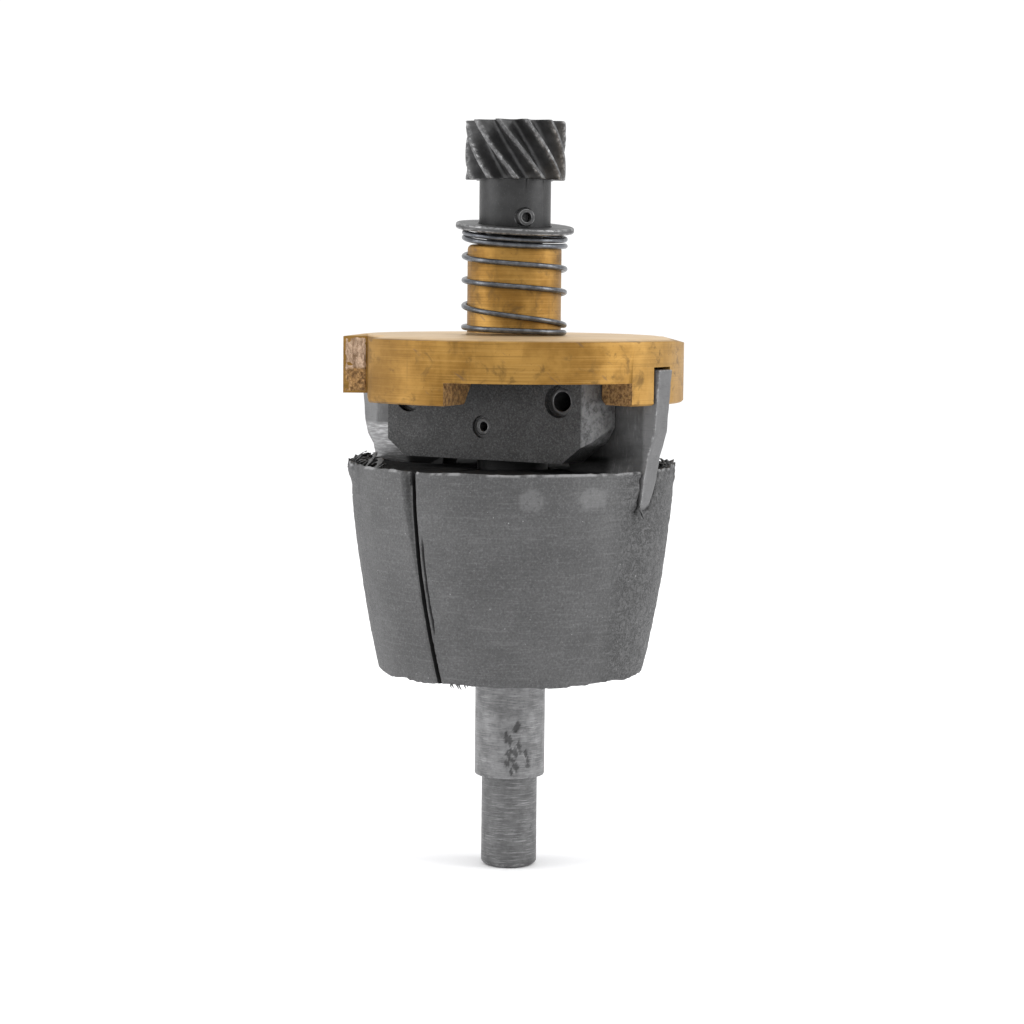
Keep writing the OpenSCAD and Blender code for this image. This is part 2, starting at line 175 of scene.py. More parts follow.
# ---- Materials ----
class Shader:
    """A small builder of node materials. Coordinates are the piece's own, in millimetres."""

    def __init__(self, name):
        self.material = bpy.data.materials.new(name)
        self.material.use_nodes = True
        self.tree = self.material.node_tree
        self.surface = self.tree.nodes["Principled BSDF"]
        place = self.tree.nodes.new("ShaderNodeTexCoord")
        scale = self.tree.nodes.new("ShaderNodeVectorMath")
        scale.operation = "SCALE"
        scale.inputs["Scale"].default_value = 1 / MM
        self.tree.links.new(place.outputs["Object"], scale.inputs[0])
        self.place = scale.outputs[0]

    def put(self, socket, value):
        """Links a socket, or writes a plain value into it."""
        if isinstance(value, bpy.types.NodeSocket):
            self.tree.links.new(value, socket)
        else:
            socket.default_value = value

    def stretched(self, x, y, z):
        """The place, multiplied along each axis."""
        node = self.tree.nodes.new("ShaderNodeVectorMath")
        node.operation = "MULTIPLY"
        self.put(node.inputs[0], self.place)
        node.inputs[1].default_value = (x, y, z)
        return node.outputs[0]

    def turned(self, rotation, scale):
        """The place, turned by angles in degrees and then stretched."""
        node = self.tree.nodes.new("ShaderNodeMapping")
        node.vector_type = "TEXTURE"
        self.put(node.inputs["Vector"], self.place)
        node.inputs["Rotation"].default_value = tuple(math.radians(a) for a in rotation)
        node.inputs["Scale"].default_value = tuple(1 / v for v in scale)
        return node.outputs[0]

    def noise(self, scale, detail=3.0, roughness=0.55, vector=None, distortion=0.0):
        """Noise about 0 to 1 over the place, or over another vector."""
        node = self.tree.nodes.new("ShaderNodeTexNoise")
        self.put(node.inputs["Vector"], vector or self.place)
        node.inputs["Scale"].default_value = scale
        node.inputs["Detail"].default_value = detail
        node.inputs["Roughness"].default_value = roughness
        node.inputs["Distortion"].default_value = distortion
        return node.outputs["Fac"]

    def band(self, value, low, high):
        """0 below low and 1 above high."""
        node = self.tree.nodes.new("ShaderNodeMapRange")
        node.interpolation_type = "SMOOTHSTEP"
        self.put(node.inputs["Value"], value)
        node.inputs["From Min"].default_value = low
        node.inputs["From Max"].default_value = high
        return node.outputs["Result"]

    def maths(self, operation, a, b=0.0):
        """One operation on two values; sums and products stay within 0 and 1."""
        node = self.tree.nodes.new("ShaderNodeMath")
        node.operation = operation
        node.use_clamp = operation in ("ADD", "MULTIPLY")
        self.put(node.inputs[0], a)
        self.put(node.inputs[1], b)
        return node.outputs[0]

    def mix(self, factor, a, b):
        """Colour a at factor 0 and colour b at factor 1."""
        node = self.tree.nodes.new("ShaderNodeMix")
        node.data_type = "RGBA"
        self.put(node.inputs["Factor"], factor)
        self.put(node.inputs["A"], (*a, 1) if isinstance(a, tuple) else a)
        self.put(node.inputs["B"], (*b, 1) if isinstance(b, tuple) else b)
        return node.outputs["Result"]

    def tint(self, tone, mask, color, share):
        """The tone, taken towards a colour by a share of the mask."""
        return self.mix(self.maths("MULTIPLY", mask, share), tone, color)

    def axis(self, name):
        """The X, Y or Z of the place."""
        node = self.tree.nodes.new("ShaderNodeSeparateXYZ")
        self.put(node.inputs[0], self.place)
        return node.outputs[name]

    def along(self, direction):
        """How far the place lies along a direction."""
        node = self.tree.nodes.new("ShaderNodeVectorMath")
        node.operation = "DOT_PRODUCT"
        self.put(node.inputs[0], self.place)
        node.inputs[1].default_value = direction
        return node.outputs["Value"]

    def mark(self, name):
        """A number painted on the mesh."""
        node = self.tree.nodes.new("ShaderNodeAttribute")
        node.attribute_name = name
        return node.outputs["Fac"]

    def worn_edge(self, scale, low, high):
        """Broken edges, patchy where the noise is between low and high."""
        return self.maths("MULTIPLY", self.mark("wear"), self.band(self.noise(scale, 4, 0.65), low, high))

    def bump(self, height, distance, strength=1.0, normal=None):
        """Relief from a height between 0 and 1, over a distance in millimetres."""
        node = self.tree.nodes.new("ShaderNodeBump")
        node.inputs["Strength"].default_value = strength
        node.inputs["Distance"].default_value = distance * MM
        self.put(node.inputs["Height"], height)
        if normal is not None:
            self.put(node.inputs["Normal"], normal)
        return node.outputs["Normal"]

    def finish(self, color, roughness, metallic, normal=None, specular=0.5):
        """Feeds the surface and returns the finished material."""
        self.put(self.surface.inputs["Base Color"], color)
        self.put(self.surface.inputs["Roughness"], roughness)
        self.put(self.surface.inputs["Metallic"], metallic)
        self.put(self.surface.inputs["Specular IOR Level"], specular)
        if normal is not None:
            self.put(self.surface.inputs["Normal"], normal)
        return self.material


def grey(value):
    """A neutral grey with a trace of blue."""
    return (value, value, value * 1.01)


def worn_steel(name, base, worn, roughness, grain):
    """Dull steel: mottled tone, fine grain, faint clouds and bright worn edges."""
    s = Shader(name)
    mottle = s.band(s.noise(0.35, 4), 0.35, 0.68)
    clouds = s.noise(1.0, 4, 0.6)
    tone = s.mix(mottle, grey(base * 0.78), grey(base * 1.2))
    tone = s.tint(tone, s.band(clouds, 0.5, 0.72), grey(base * 1.7), 0.45)
    pits = s.band(s.noise(2.6, 5, 0.7), 0.62, 0.7)
    tone = s.tint(tone, pits, grey(base * 0.4), 0.5)
    edge = s.worn_edge(1.1, 0.38, 0.6)
    tone = s.mix(edge, tone, grey(worn))
    rough_now = s.mix(edge, grey(roughness), grey(roughness * 0.7))
    normal = s.bump(s.noise(grain, 3, 0.6), 0.05, 0.5)
    normal = s.bump(clouds, 0.05, 0.3, normal)
    return s.finish(tone, rough_now, 0.7, normal)


def gear_material():
    """Dark steel, darker on the hub, with scuffed crests and bright tooth corners."""
    s = Shader("gear_steel_finish")
    mottle = s.band(s.noise(0.5, 4), 0.35, 0.7)
    tone = s.mix(mottle, grey(0.04), grey(0.066))
    hub = s.band(s.axis("Z"), GEAR_FLOOR + 0.1, GEAR_FLOOR - 0.1)
    tone = s.tint(tone, hub, grey(0.026), 0.7)
    crest = s.mark("wear")
    scuff = s.band(s.noise(1.6, 5, 0.7), 0.3, 0.66)
    tone = s.mix(s.maths("MULTIPLY", crest, scuff), tone, grey(0.14))
    corner = s.mark("corner")
    tone = s.mix(s.maths("MULTIPLY", corner, s.band(s.noise(1.1, 4, 0.65), 0.46, 0.64)), tone, grey(0.34))
    speck = s.band(s.noise(5.0, 4, 0.7), 0.58, 0.7)
    tone = s.tint(tone, speck, grey(0.14), 0.3)
    normal = s.bump(s.noise(4.0, 4, 0.65), 0.05, 0.5)
    normal = s.bump(s.noise(9.0, 3, 0.6), 0.03, 0.4, normal)
    return s.finish(tone, 0.44, 0.7, normal)


def wire_material():
    """Smooth bluish wire with faint lengthwise streaks."""
    s = Shader("spring_steel_finish")
    streaks = s.noise(3.0, 3, 0.6, s.stretched(0.5, 0.5, 4))
    tone = s.mix(s.band(s.noise(0.7, 3), 0.35, 0.7), (0.06, 0.064, 0.072), (0.12, 0.126, 0.138))
    tone = s.tint(tone, s.band(streaks, 0.55, 0.7), (0.3, 0.31, 0.33), 0.4)
    return s.finish(tone, 0.3, 0.85, s.bump(s.noise(6.0, 3), 0.02, 0.4))


def tarnished_and_side_lit_brass(s, turned, broad):
    """Outer faces: turning marks, upright smears, painted light on the side towards the camera's right and
    painted shade on the side towards its left, stains and scratches.
    """
    tone = s.mix(s.band(broad, 0.32, 0.68), (0.2, 0.1, 0.017), (0.33, 0.182, 0.042))
    tone = s.tint(tone, s.band(turned, 0.48, 0.72), (0.4, 0.235, 0.07), 0.4)
    tone = s.tint(tone, s.band(turned, 0.47, 0.3), (0.13, 0.068, 0.014), 0.5)
    upright = s.band(s.noise(1.0, 3, 0.6, s.stretched(0.55, 0.55, 0.07)), 0.56, 0.74)
    tone = s.tint(tone, upright, (0.14, 0.076, 0.018), 0.4)
    # Painted light on the side towards the camera's right and painted shade on the side towards its left
    across = s.along((math.cos(FRONT), math.sin(FRONT), 0))
    tone = s.tint(tone, s.band(across, 15, 24), (0.52, 0.32, 0.095), 0.25)
    tone = s.tint(tone, s.band(across, -12, -22), (0.15, 0.085, 0.025), 0.35)
    stain = s.band(s.noise(0.36, 5, 0.65, distortion=0.6), 0.52, 0.7)
    tone = s.tint(tone, stain, (0.12, 0.066, 0.018), 0.75)
    dots = s.band(s.noise(2.2, 4, 0.7), 0.64, 0.72)
    tone = s.tint(tone, dots, (0.08, 0.042, 0.015), 0.55)
    slanted = s.noise(1.0, 3, 0.55, s.turned((0, 38, 32), (0.13, 0.36, 1.1)))
    return s.tint(tone, s.band(slanted, 0.66, 0.7), (0.13, 0.08, 0.045), 0.5)


def rough_brass(s, tone):
    """Adds a painted highlight on the flange's top face, the rough and the chalky walls, and the bright
    broken edges, which are partly a painted highlight.
    """
    # Painted highlight: the flange's top face is taken towards a pale colour for its sheen at a grazing view
    top = s.band(s.axis("Z"), FLANGE_TOP - 0.5, FLANGE_TOP - 0.2)
    below_tube = s.band(s.axis("Z"), FLANGE_TOP + 0.5, FLANGE_TOP + 0.4)
    tone = s.tint(tone, s.maths("MULTIPLY", top, below_tube), (0.7, 0.53, 0.33), 0.66)
    speck = s.band(s.noise(1.5, 5, 0.7), 0.36, 0.66)
    tone = s.mix(s.mark("raw"), tone, s.mix(speck, (0.15, 0.084, 0.038), (0.5, 0.3, 0.125)))
    grains = s.band(s.noise(1.0, 5, 0.7, s.stretched(1, 1, 0.5)), 0.36, 0.62)
    tone = s.mix(s.mark("pale"), tone, s.mix(grains, (0.24, 0.155, 0.095), (0.62, 0.46, 0.335)))
    # Bright broken edges: partly real wear and partly a painted highlight
    return s.tint(tone, s.worn_edge(0.9, 0.42, 0.64), (0.78, 0.57, 0.3), 0.8)


def brass_material():
    """Golden brass: turned and stained, with painted light and shade on its sides, a painted highlight on the
    flange's top face, pale worn edges that are partly a painted highlight, scratches and rough inner walls.
    """
    s = Shader("brass_finish")
    turned = s.noise(1.0, 4, 0.6, s.stretched(0.05, 0.05, 4.5))
    broad = s.noise(0.13, 4, 0.6)
    tone = rough_brass(s, tarnished_and_side_lit_brass(s, turned, broad))
    rough_now = s.mix(s.band(broad, 0.3, 0.7), grey(0.56), grey(0.46))
    normal = s.bump(turned, 0.05, 0.5)
    normal = s.bump(s.noise(3.5, 4, 0.65), 0.03, 0.4, normal)
    coarse = s.maths("MULTIPLY", s.noise(2.2, 5, 0.7), s.maths("ADD", s.mark("raw"), s.mark("pale")))
    normal = s.bump(coarse, 0.3, 0.9, normal)
    return s.finish(tone, rough_now, 0.8, normal)


def lead_material():
    """Soft grey casting: orange peel, fine level scratches, faint rubbed spots, darker pores, a bright top
    edge that is partly a painted highlight, and painted shade where the dark mark lies.
    """
    s = Shader("lead_finish")
    broad = s.noise(0.09, 4, 0.55)
    tone = s.mix(s.band(broad, 0.3, 0.7), grey(0.064), grey(0.084))
    level = s.noise(1.0, 4, 0.65, s.stretched(0.16, 0.16, 3.2))
    tone = s.tint(tone, s.band(level, 0.5, 0.7), grey(0.14), 0.42)
    upright = s.noise(1.0, 3, 0.6, s.stretched(1.3, 1.3, 0.14), 0.8)
    tone = s.tint(tone, s.band(upright, 0.62, 0.72), grey(0.045), 0.3)
    grain = s.noise(2.6, 5, 0.75)
    tone = s.tint(tone, s.band(grain, 0.5, 0.64), grey(0.042), 0.6)
    tone = s.tint(tone, s.band(grain, 0.48, 0.36), grey(0.14), 0.55)
    peel = s.noise(0.9, 4, 0.6, distortion=1.2)
    off_middle = s.maths("ABSOLUTE", s.maths("SUBTRACT", peel, 0.5))
    seams = s.maths("MULTIPLY", s.band(off_middle, 0.06, 0.0), s.mark("peel"))
    tone = s.tint(tone, seams, grey(0.03), 0.55)
    fleck = s.band(s.noise(1.9, 2, 0.5), 0.74, 0.78)
    tone = s.tint(tone, fleck, grey(0.4), 0.6)
    # Rubbed spots, and along the top edge a bright band that is partly real rubbing and partly a painted
    # highlight
    rub = s.maths("MULTIPLY", s.mark("wear"), s.band(s.noise(1.2, 4, 0.6), 0.25, 0.5))
    tone = s.tint(tone, rub, grey(0.17), 0.45)
    # Painted highlight: the top edge is lightened further
    crest = s.band(s.axis("Z"), WEIGHT_HIGH.z - 0.6, WEIGHT_HIGH.z - 0.35)
    tone = s.tint(tone, s.maths("MULTIPLY", rub, crest), grey(0.36), 0.5)
    # Painted shade: the dark mark takes the colour nearly to black
    tone = s.tint(tone, s.mark("dark"), grey(0.012), 0.9)
    normal = s.bump(s.noise(1.5, 4, 0.6), 0.1, 0.4)
    normal = s.bump(level, 0.05, 0.3, normal)
    normal = s.bump(grain, 0.08, 0.5, normal)
    normal = s.bump(seams, -0.16, 0.8, normal)
    # Under the painted shade the surface is fully rough, with no metal and no sheen
    unshaded = s.maths("SUBTRACT", 1.0, s.mark("dark"))
    shaded_roughness = s.mix(s.mark("dark"), grey(0.6), grey(1.0))
    return s.finish(tone, shaded_roughness, s.maths("MULTIPLY", unshaded, 0.35), normal, s.maths("MULTIPLY", unshaded, 0.5))


def spider_material():
    """Dark grainy steel, lighter and rubbed on the turned ends."""
    s = Shader("spider_steel_finish")
    tone = s.mix(s.band(s.noise(0.22, 4), 0.3, 0.7), grey(0.032), grey(0.046))
    grain = s.noise(3.3, 5, 0.8)
    tone = s.tint(tone, s.band(grain, 0.51, 0.62), grey(0.1), 0.7)
    tone = s.tint(tone, s.band(grain, 0.47, 0.38), grey(0.012), 0.8)
    ends = s.band(s.maths("ABSOLUTE", s.axis("X")), SPIDER_HIGH.x - 2.4, SPIDER_HIGH.x - 2.1)
    rub = s.maths("MULTIPLY", ends, s.band(s.noise(0.8, 5, 0.7), 0.3, 0.62))
    tone = s.tint(tone, rub, grey(0.19), 0.75)
    edge = s.worn_edge(1.4, 0.46, 0.64)
    tone = s.tint(tone, edge, grey(0.17), 0.5)
    normal = s.bump(grain, 0.1, 0.7)
    normal = s.bump(s.noise(1.1, 3), 0.1, 0.25, normal)
    return s.finish(tone, 0.5, 0.5, normal)


# ---- Shaft ----
# Stretch of the stem, in degrees from +X, that is deeply pitted
PITTED = (-66, -26)
DEEP_PITS, FINE_PITS = 22, 40


def stem_pits():
    """Diamond shaped pits on the stem: (angle, height, half width, half height, depth)."""
    draw = random.Random(7)
    pits = []
    for _ in range(DEEP_PITS):
        angle = math.radians(draw.uniform(*PITTED))
        pits.append((angle, draw.triangular(0.9, 13.5, 4.5), draw.uniform(0.3, 0.8),
                     draw.uniform(0.6, 1.4), draw.uniform(0.1, 0.28)))
    for _ in range(FINE_PITS):
        angle = draw.uniform(-math.pi, math.pi)
        pits.append((angle, draw.uniform(-15, 17), draw.uniform(0.12, 0.3), draw.uniform(0.15, 0.5),
                     draw.uniform(0.04, 0.1)))
    return pits


def pit_depth(pits, r, angle, z):
    """Depth of the deepest pit at one place on the shaft."""
    depth = 0.0
    for middle, height, wide, tall, deep in pits:
        if abs(z - height) > 1.5 * tall:
            continue
        around = (angle - middle + math.pi) % (2 * math.pi) - math.pi
        here = polar(r, angle, z)
        far = abs(around * r) / wide + abs(z - height) / tall + 0.35 * rough(here, 0.5)
        depth = max(depth, deep * (1 - smooth(0.55, 1.0, far)))
    return depth


def shaft_profile(visible):
    """Radius and height from the lower centre hole up to the upper one, finely stepped up to visible."""
    low, high = SHAFT_LOW.z, SHAFT_HIGH.z
    profile = [(0.001, low + 2.2), (0.4, low + 2.1), (1.6, low + 0.02), (1.75, low)]
    profile += [(JOURNAL_R - 0.7, low), (JOURNAL_R - 0.45, low + 0.08), (JOURNAL_R - 0.12, low + 0.42)]
    first, steps = low + 0.7, 46
    profile += [(JOURNAL_R, first + (-0.25 - first) * i / steps) for i in range(steps + 1)]
    profile += [(JOURNAL_R - 0.04, -0.06), (JOURNAL_R + 0.1, 0), (STEM_R - 0.35, 0), (STEM_R - 0.1, 0.1)]
    first, steps = 0.35, 84
    profile += [(STEM_R, first + (visible - first) * i / steps) for i in range(steps + 1)]
    profile += [(STEM_R, SPIDER_LOW.z), (SEAT_R, SPIDER_LOW.z), (SEAT_R, GEAR_LOW.z)]
    profile += [(GEAR_SEAT_R, GEAR_LOW.z), (GEAR_SEAT_R, high - 0.3), (GEAR_SEAT_R - 0.3, high)]
    return profile + [(1.7, high), (1.5, high - 0.1), (0.4, high - 2.1), (0.001, high - 2.2)]


def shaft():
    """The stepped shaft with centre holes at both ends and pits where it can be seen."""
    around = 176
    visible = WEIGHT_LOW.z + 2
    pits = stem_pits()
    rings = []
    for r, z in shaft_profile(visible):
        ring = []
        for i in range(around):
            angle = 2 * math.pi * i / around
            sunk = pit_depth(pits, r, angle, z) if r > JOURNAL_R - 0.01 and z < visible else 0
            ring.append(polar(r - sunk, angle, z))
        rings.append(ring)
    bm = sweep(rings)
    wear = bm.faces.layers.float.new("wear")
    dark = bm.verts.layers.float.new("dark")
    for face in bm.faces:
        middle = face.calc_center_median()
        near_step = abs(middle.z - 0.1) < 0.2 and math.hypot(middle.x, middle.y) > STEM_R - 0.5
        face[wear] = 1.0 if near_step or middle.z < SHAFT_LOW.z + 0.6 else 0.0
    for v in bm.verts:
        r = math.hypot(v.co.x, v.co.y)
        full = STEM_R if v.co.z > 0.3 else JOURNAL_R
        v[dark] = smooth(0.02, 0.15, full - r) if -15 < v.co.z < visible and r > JOURNAL_R - 0.3 else 0.0
    return bm


def shaft_material():
    """Turned steel: fine rings, blotches, dark specks and pits; painted shade from a little above the
    weights' floor upwards.
    """
    s = Shader("shaft_steel_finish")
    blotch = s.noise(0.4, 5, 0.65)
    tone = s.mix(s.band(blotch, 0.32, 0.68), grey(0.11), grey(0.2))
    journal = s.band(s.axis("Z"), 0.1, -0.1)
    tone = s.tint(tone, journal, grey(0.07), 0.5)
    rings = s.noise(1.0, 4, 0.65, s.stretched(0.35, 0.35, 5))
    tone = s.tint(tone, s.band(rings, 0.5, 0.7), grey(0.34), 0.5)
    tone = s.tint(tone, s.band(rings, 0.46, 0.3), grey(0.06), 0.5)
    speck = s.band(s.noise(2.4, 4, 0.7), 0.6, 0.7)
    tone = s.tint(tone, speck, grey(0.045), 0.5)
    edge = s.worn_edge(1.1, 0.42, 0.64)
    tone = s.tint(tone, edge, grey(0.26), 0.6)
    tone = s.tint(tone, s.mark("dark"), grey(0.03), 0.75)
    # Painted shade: nearly black from a little above the weights' floor upwards, where the shaft lies in
    # shade between the weights and the spider
    painted_shade = s.band(s.axis("Z"), WEIGHT_LOW.z + 2, WEIGHT_LOW.z + 4)
    tone = s.tint(tone, painted_shade, grey(0.01), 0.95)
    normal = s.bump(rings, 0.02, 0.4)
    normal = s.bump(s.noise(3.2, 4, 0.7), 0.05, 0.5, normal)
    return s.finish(tone, 0.45, 0.7, normal)


# ---- Drive gear ----
TEETH = 11
GEAR_TWIST = math.radians(56)
TOOTH_START = 9
# How far the rim's end edges are broken, inwards and along the face
EDGE_BREAK_DEEP, EDGE_BREAK_TALL = 0.14, 0.12
# The shallow mouth round the roll pin: its inner and outer radius
MOUTH_R_IN, MOUTH_R_OUT = 1.75, 1.95
MOUTH_LENGTH = 3
# Half angle, in degrees, and depth below the crest, from the middle of a tooth to the next valley
TOOTH_SIDE = [(1.7, 0), (2.5, 0.09), (3.6, 0.42), (5, 0.82), (6.4, 1.2), (8, 1.6), (9.8, 1.95),
              (11.7, 2.22), (13.8, 2.4)]


def tooth_ring(z, turn, inset=0.0):
    """One outline of the toothed rim, turned and optionally drawn in for a broken edge."""
    corners = [(-a, d) for a, d in reversed(TOOTH_SIDE)] + [(0, 0)] + TOOTH_SIDE + [(180 / TEETH, 2.45)]
    ring = []
    for tooth in range(TEETH):
        for half, depth in corners:
            angle = math.radians(TOOTH_START + half + 360 / TEETH * tooth) + turn
            here = polar(GEAR_TIP_R, angle, z)
            chip = 0.16 * max(0, rough(here, 1.3) - 0.1) if depth < 0.5 else 0.05 * rough(here, 1.0)
            ring.append(polar(GEAR_TIP_R - depth - inset - chip, angle, z))
    return ring


def gear_hub(start):
    """Rings from the rim's top face down the bore and up outside the hub, at the tooth ring's angles."""
    def ring(r, z, turn=0.0):
        return [polar(r, a + turn, z) for a in start]

    low, top = GEAR_LOW.z, GEAR_HIGH.z
    steps = 12
    rings = [ring(GEAR_SEAT_R + 0.25, top, -GEAR_TWIST)]
    rings += [ring(GEAR_SEAT_R + 0.01, top - 0.25 - (top - low - 0.5) * i / steps,
                   -GEAR_TWIST * (1 - i / steps)) for i in range(steps + 1)]
    return rings + [ring(GEAR_SEAT_R + 0.3, low), ring(HUB_R - 0.3, low), ring(HUB_R - 0.08, low + 0.1),
                    ring(HUB_R, low + 0.35), ring(HUB_R, GEAR_FLOOR - 0.02)]


def drive_gear():
    """The helical rim with broken ends, its bore and the plain hub below, as one closed skin."""
    slices = 44
    face = GEAR_HIGH.z - GEAR_FLOOR
    rings = []
    for i in range(slices + 1):
        z = GEAR_FLOOR + face * i / slices
        if i == 1:
            z = GEAR_FLOOR + EDGE_BREAK_TALL
        if i == slices - 1:
            z = GEAR_HIGH.z - EDGE_BREAK_TALL
        inset = EDGE_BREAK_DEEP if i in (0, slices) else 0.0
        rings.append(tooth_ring(z, -GEAR_TWIST * (z - GEAR_FLOOR) / face, inset))
    rings += gear_hub([math.atan2(p.y, p.x) for p in rings[0]])
    bm = sweep(rings, closed_path=True)
    wear = bm.verts.layers.float.new("wear")
    corner = bm.verts.layers.float.new("corner")
    for v in bm.verts:
        r = math.hypot(v.co.x, v.co.y)
        v[wear] = smooth(GEAR_TIP_R - 0.75, GEAR_TIP_R - 0.15, r)
        v[corner] = smooth(GEAR_TIP_R - 0.55, GEAR_TIP_R - 0.25, r) * smooth(GEAR_TIP_R, GEAR_TIP_R - 0.08, r)
    return bm


def cut_hub_mouth(gear):
    """Sinks the shallow mouth round the roll pin into the gear's hub."""
    direction = Vector(((PIN_LOW.x + PIN_HIGH.x) / 2, (PIN_LOW.y + PIN_HIGH.y) / 2, 0)).normalized()
    pin_z = (PIN_LOW.z + PIN_HIGH.z) / 2
    turn = direction.to_track_quat("Z", "Y").to_matrix().to_4x4()
    bm = bmesh.new()
    place = Matrix.Translation(direction * (HUB_R + 0.9) + Vector((0, 0, pin_z)))
    bmesh.ops.create_cone(bm, cap_ends=True, segments=48, radius1=MOUTH_R_IN, radius2=MOUTH_R_OUT,
                          depth=MOUTH_LENGTH, matrix=place @ turn)
    bmesh.ops.scale(bm, vec=(MM, MM, MM), verts=bm.verts)
    mesh = bpy.data.meshes.new("hub_mouth")
    bm.to_mesh(mesh)
    bm.free()
    cutter = bpy.data.objects.new("hub_mouth", mesh)
    bpy.context.scene.collection.objects.link(cutter)
    cut = gear.modifiers.new("mouth", "BOOLEAN")
    cut.operation = "DIFFERENCE"
    cut.solver = "EXACT"
    cut.object = cutter
    graph = bpy.context.evaluated_depsgraph_get()
    shaped = bpy.data.meshes.new_from_object(gear.evaluated_get(graph))
    gear.modifiers.remove(cut)
    gear.data = shaped
    bpy.data.objects.remove(cutter)


# ---- Spring ----
WIRE_R = 0.48
COIL_R = SPRING_HIGH.x - WIRE_R
HALF_TURN_RISE = [0.85, 0.4, 3.4, 2.5, 2, 2.1, 2, 2.35, 0.75, 0.55, 0.4]
COIL_START = 0.52
COIL_END_ANGLE = math.radians(32)


def washer_rise(r, angle):
    """Height of the tilted washer's plane above its middle."""
    return -r * math.tan(WASHER_TILT) * math.cos(angle - WASHER_LOW_ANGLE)


def wire_centre(u):
    """Middle of the wire after u half turns."""
    n = min(int(u), len(HALF_TURN_RISE) - 1)
    level = COIL_START + sum(HALF_TURN_RISE[:n]) + HALF_TURN_RISE[n] * (u - n)
    angle = COIL_END_ANGLE - math.pi * u
    share = min(1, max(0, (u - 6) / 3))
    return polar(COIL_R, angle, FLANGE_TOP + level + share * washer_rise(COIL_R, angle))


def evened(centres, passes):
    """Blends each centre's height with its neighbours', so that the pitch changes softly."""
    for _ in range(passes):
        heights = [p.z for p in centres]
        for i in range(1, len(centres) - 1):
            centres[i].z = (heights[i - 1] + 2 * heights[i] + heights[i + 1]) / 4
    return centres


def spring():
    """Round wire coiled between the flange and the washer, a little thinner at its cut ends."""
    per_half, sides = 30, 14
    count = len(HALF_TURN_RISE) * per_half + 1
    centres = evened([wire_centre(i / per_half) for i in range(count)], 5)
    rings = []
    for i, centre in enumerate(centres):
        out = Vector((centre.x, centre.y, 0)).normalized()
        size = WIRE_R * (0.85 if i in (0, count - 1) else 1)
        rings.append([centre + size * (out * math.cos(a) + Vector((0, 0, 1)) * math.sin(a))
                      for a in (2 * math.pi * k / sides for k in range(sides))])
    return sweep(rings)


# ---- Arms ----
PIVOT_X = (PIVOT_LOW.x + PIVOT_HIGH.x) / 2
PIVOT_Z = (PIVOT_LOW.z + PIVOT_HIGH.z) / 2
EYE_R = 5.0
TAIL_FLOOR = ARM_LOW.z
STRIP_FLOOR = TAIL_FLOOR + 11
# How far the strip has been bent over sideways at its foot, and where the bend begins
STRIP_LEAN = 2.7
BEND_TOP = STRIP_FLOOR + 8.5
# How far below the top of the toe the left arm stays spread outwards
SPREAD_FLOOR = 13.4
# The outer edge of an arm from the toe down: distance in from the toe's tip, and below its top
OUTER_EDGE = [(0, 0), (0.25, 3), (0.45, 6), (0.65, 8.6), (0.8, 10.8), (1.5, 13.3), (2.15, 15.2),
              (2.25, 17), (2.25, 19.3), (2.28, 21.4), (2.35, 22.9), (2.7, 23.8)]


def arm_outline(side):
    """Outline of the arm in its own plane, from the toe down the outer edge and back up inside."""
    toe_x, toe_z = ARM_HIGH.x, ARM_HIGH.z
    spread = -LEFT_ARM_LOW.x - toe_x if side == LEFT else 0
    points = []
    for inward, down in OUTER_EDGE:
        share = 1 - smooth(SPREAD_FLOOR, SPREAD_FLOOR + 2, down)
        points.append((toe_x + spread * share - inward, toe_z - down))
    points += [(22, TAIL_FLOOR), (16.5, TAIL_FLOOR), (13, PIVOT_Z - 11.1)]
    steps = 18
    first, last = math.radians(196), math.radians(48)
    for i in range(steps + 1):
        a = first + (last - first) * i / steps
        points.append((PIVOT_X + EYE_R * math.cos(a), PIVOT_Z + EYE_R * math.sin(a)))
    points += [(21, toe_z - 1.9), (toe_x - 5.6, toe_z - 1.8), (toe_x - 5, toe_z)]
    return points


def strip_shift(z):
    """Sideways shift of the bent strip at one height."""
    return STRIP_LEAN * (max(0, BEND_TOP - z) / (BEND_TOP - STRIP_FLOOR)) ** 1.2


def arm(side):
    """The bell crank plate with broken edges and a bent strip. The left one is turned round."""
    outline = arm_outline(side)
    half = ARM_T / 2
    bm = sweep([[Vector((x, y, z)) for x, z in outline] for y in (-half, half)])
    bmesh.ops.recalc_face_normals(bm, faces=bm.faces)
    edges = [e for e in bm.edges if e.calc_face_angle(0) > math.radians(60)]
    wear = bm.faces.layers.float.new("wear")
    made = bmesh.ops.bevel(bm, geom=edges, offset=0.28, segments=2, profile=0.5, affect="EDGES",
                           clamp_overlap=True)
    for face in made["faces"]:
        face[wear] = 1.0
    bmesh.ops.triangulate(bm, faces=[f for f in bm.faces if len(f.verts) > 4])
    outer = [e for e in bm.edges if min(v.co.x for v in e.verts) > 27 and e.calc_length() > 0.9]
    bmesh.ops.subdivide_edges(bm, edges=outer, cuts=3, use_grid_fill=True)
    for v in bm.verts:
        if v.co.x > 24:
            v.co.y *= 1 - 0.3 * smooth(STRIP_FLOOR + 5, STRIP_FLOOR, v.co.z)
            v.co.y -= strip_shift(v.co.z)
            v.co.y += 0.10 * rough(Vector((v.co.x, 7.7 * side, v.co.z)), 2.2)
            v.co.x += min(0, 0.10 * rough(Vector((3.1, v.co.y, v.co.z)), 1.6))
    if side == LEFT:
        bmesh.ops.rotate(bm, matrix=Matrix.Rotation(math.pi, 3, "Z"), verts=bm.verts)
    return bm


